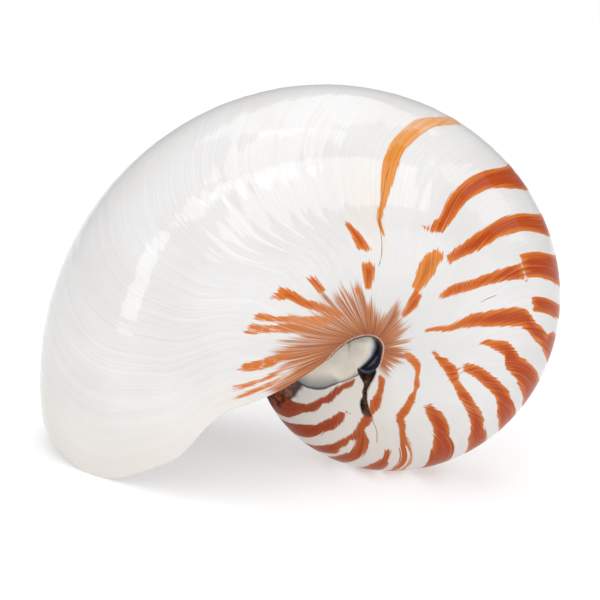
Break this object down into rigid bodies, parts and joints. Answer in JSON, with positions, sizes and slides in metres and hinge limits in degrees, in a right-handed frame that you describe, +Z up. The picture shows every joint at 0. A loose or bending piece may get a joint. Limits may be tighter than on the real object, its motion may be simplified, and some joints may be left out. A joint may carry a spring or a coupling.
{
  "type": "nautilus shell",
  "caption": "Chambered nautilus shell: a coiled spiral wall with tiger stripes on its old whorl, a wide open body chamber and a callus over each umbilicus.",
  "frame": {"origin": "middle of the bottom of the box round the shell, on the surface it stands on", "axes": "+Z up, +X from the lip towards the back of the coil, y = 0 is the shell's plane of symmetry, and the aperture opens down and towards -X"},
  "size_m": [0.1676, 0.0822, 0.128],
  "materials": {
    "shell": "glossy, pearly white with orange-brown stripes"
  },
  "bodies": {
    "root": {"nautilus_shell": "shell"}
  },
  "joints": []
}
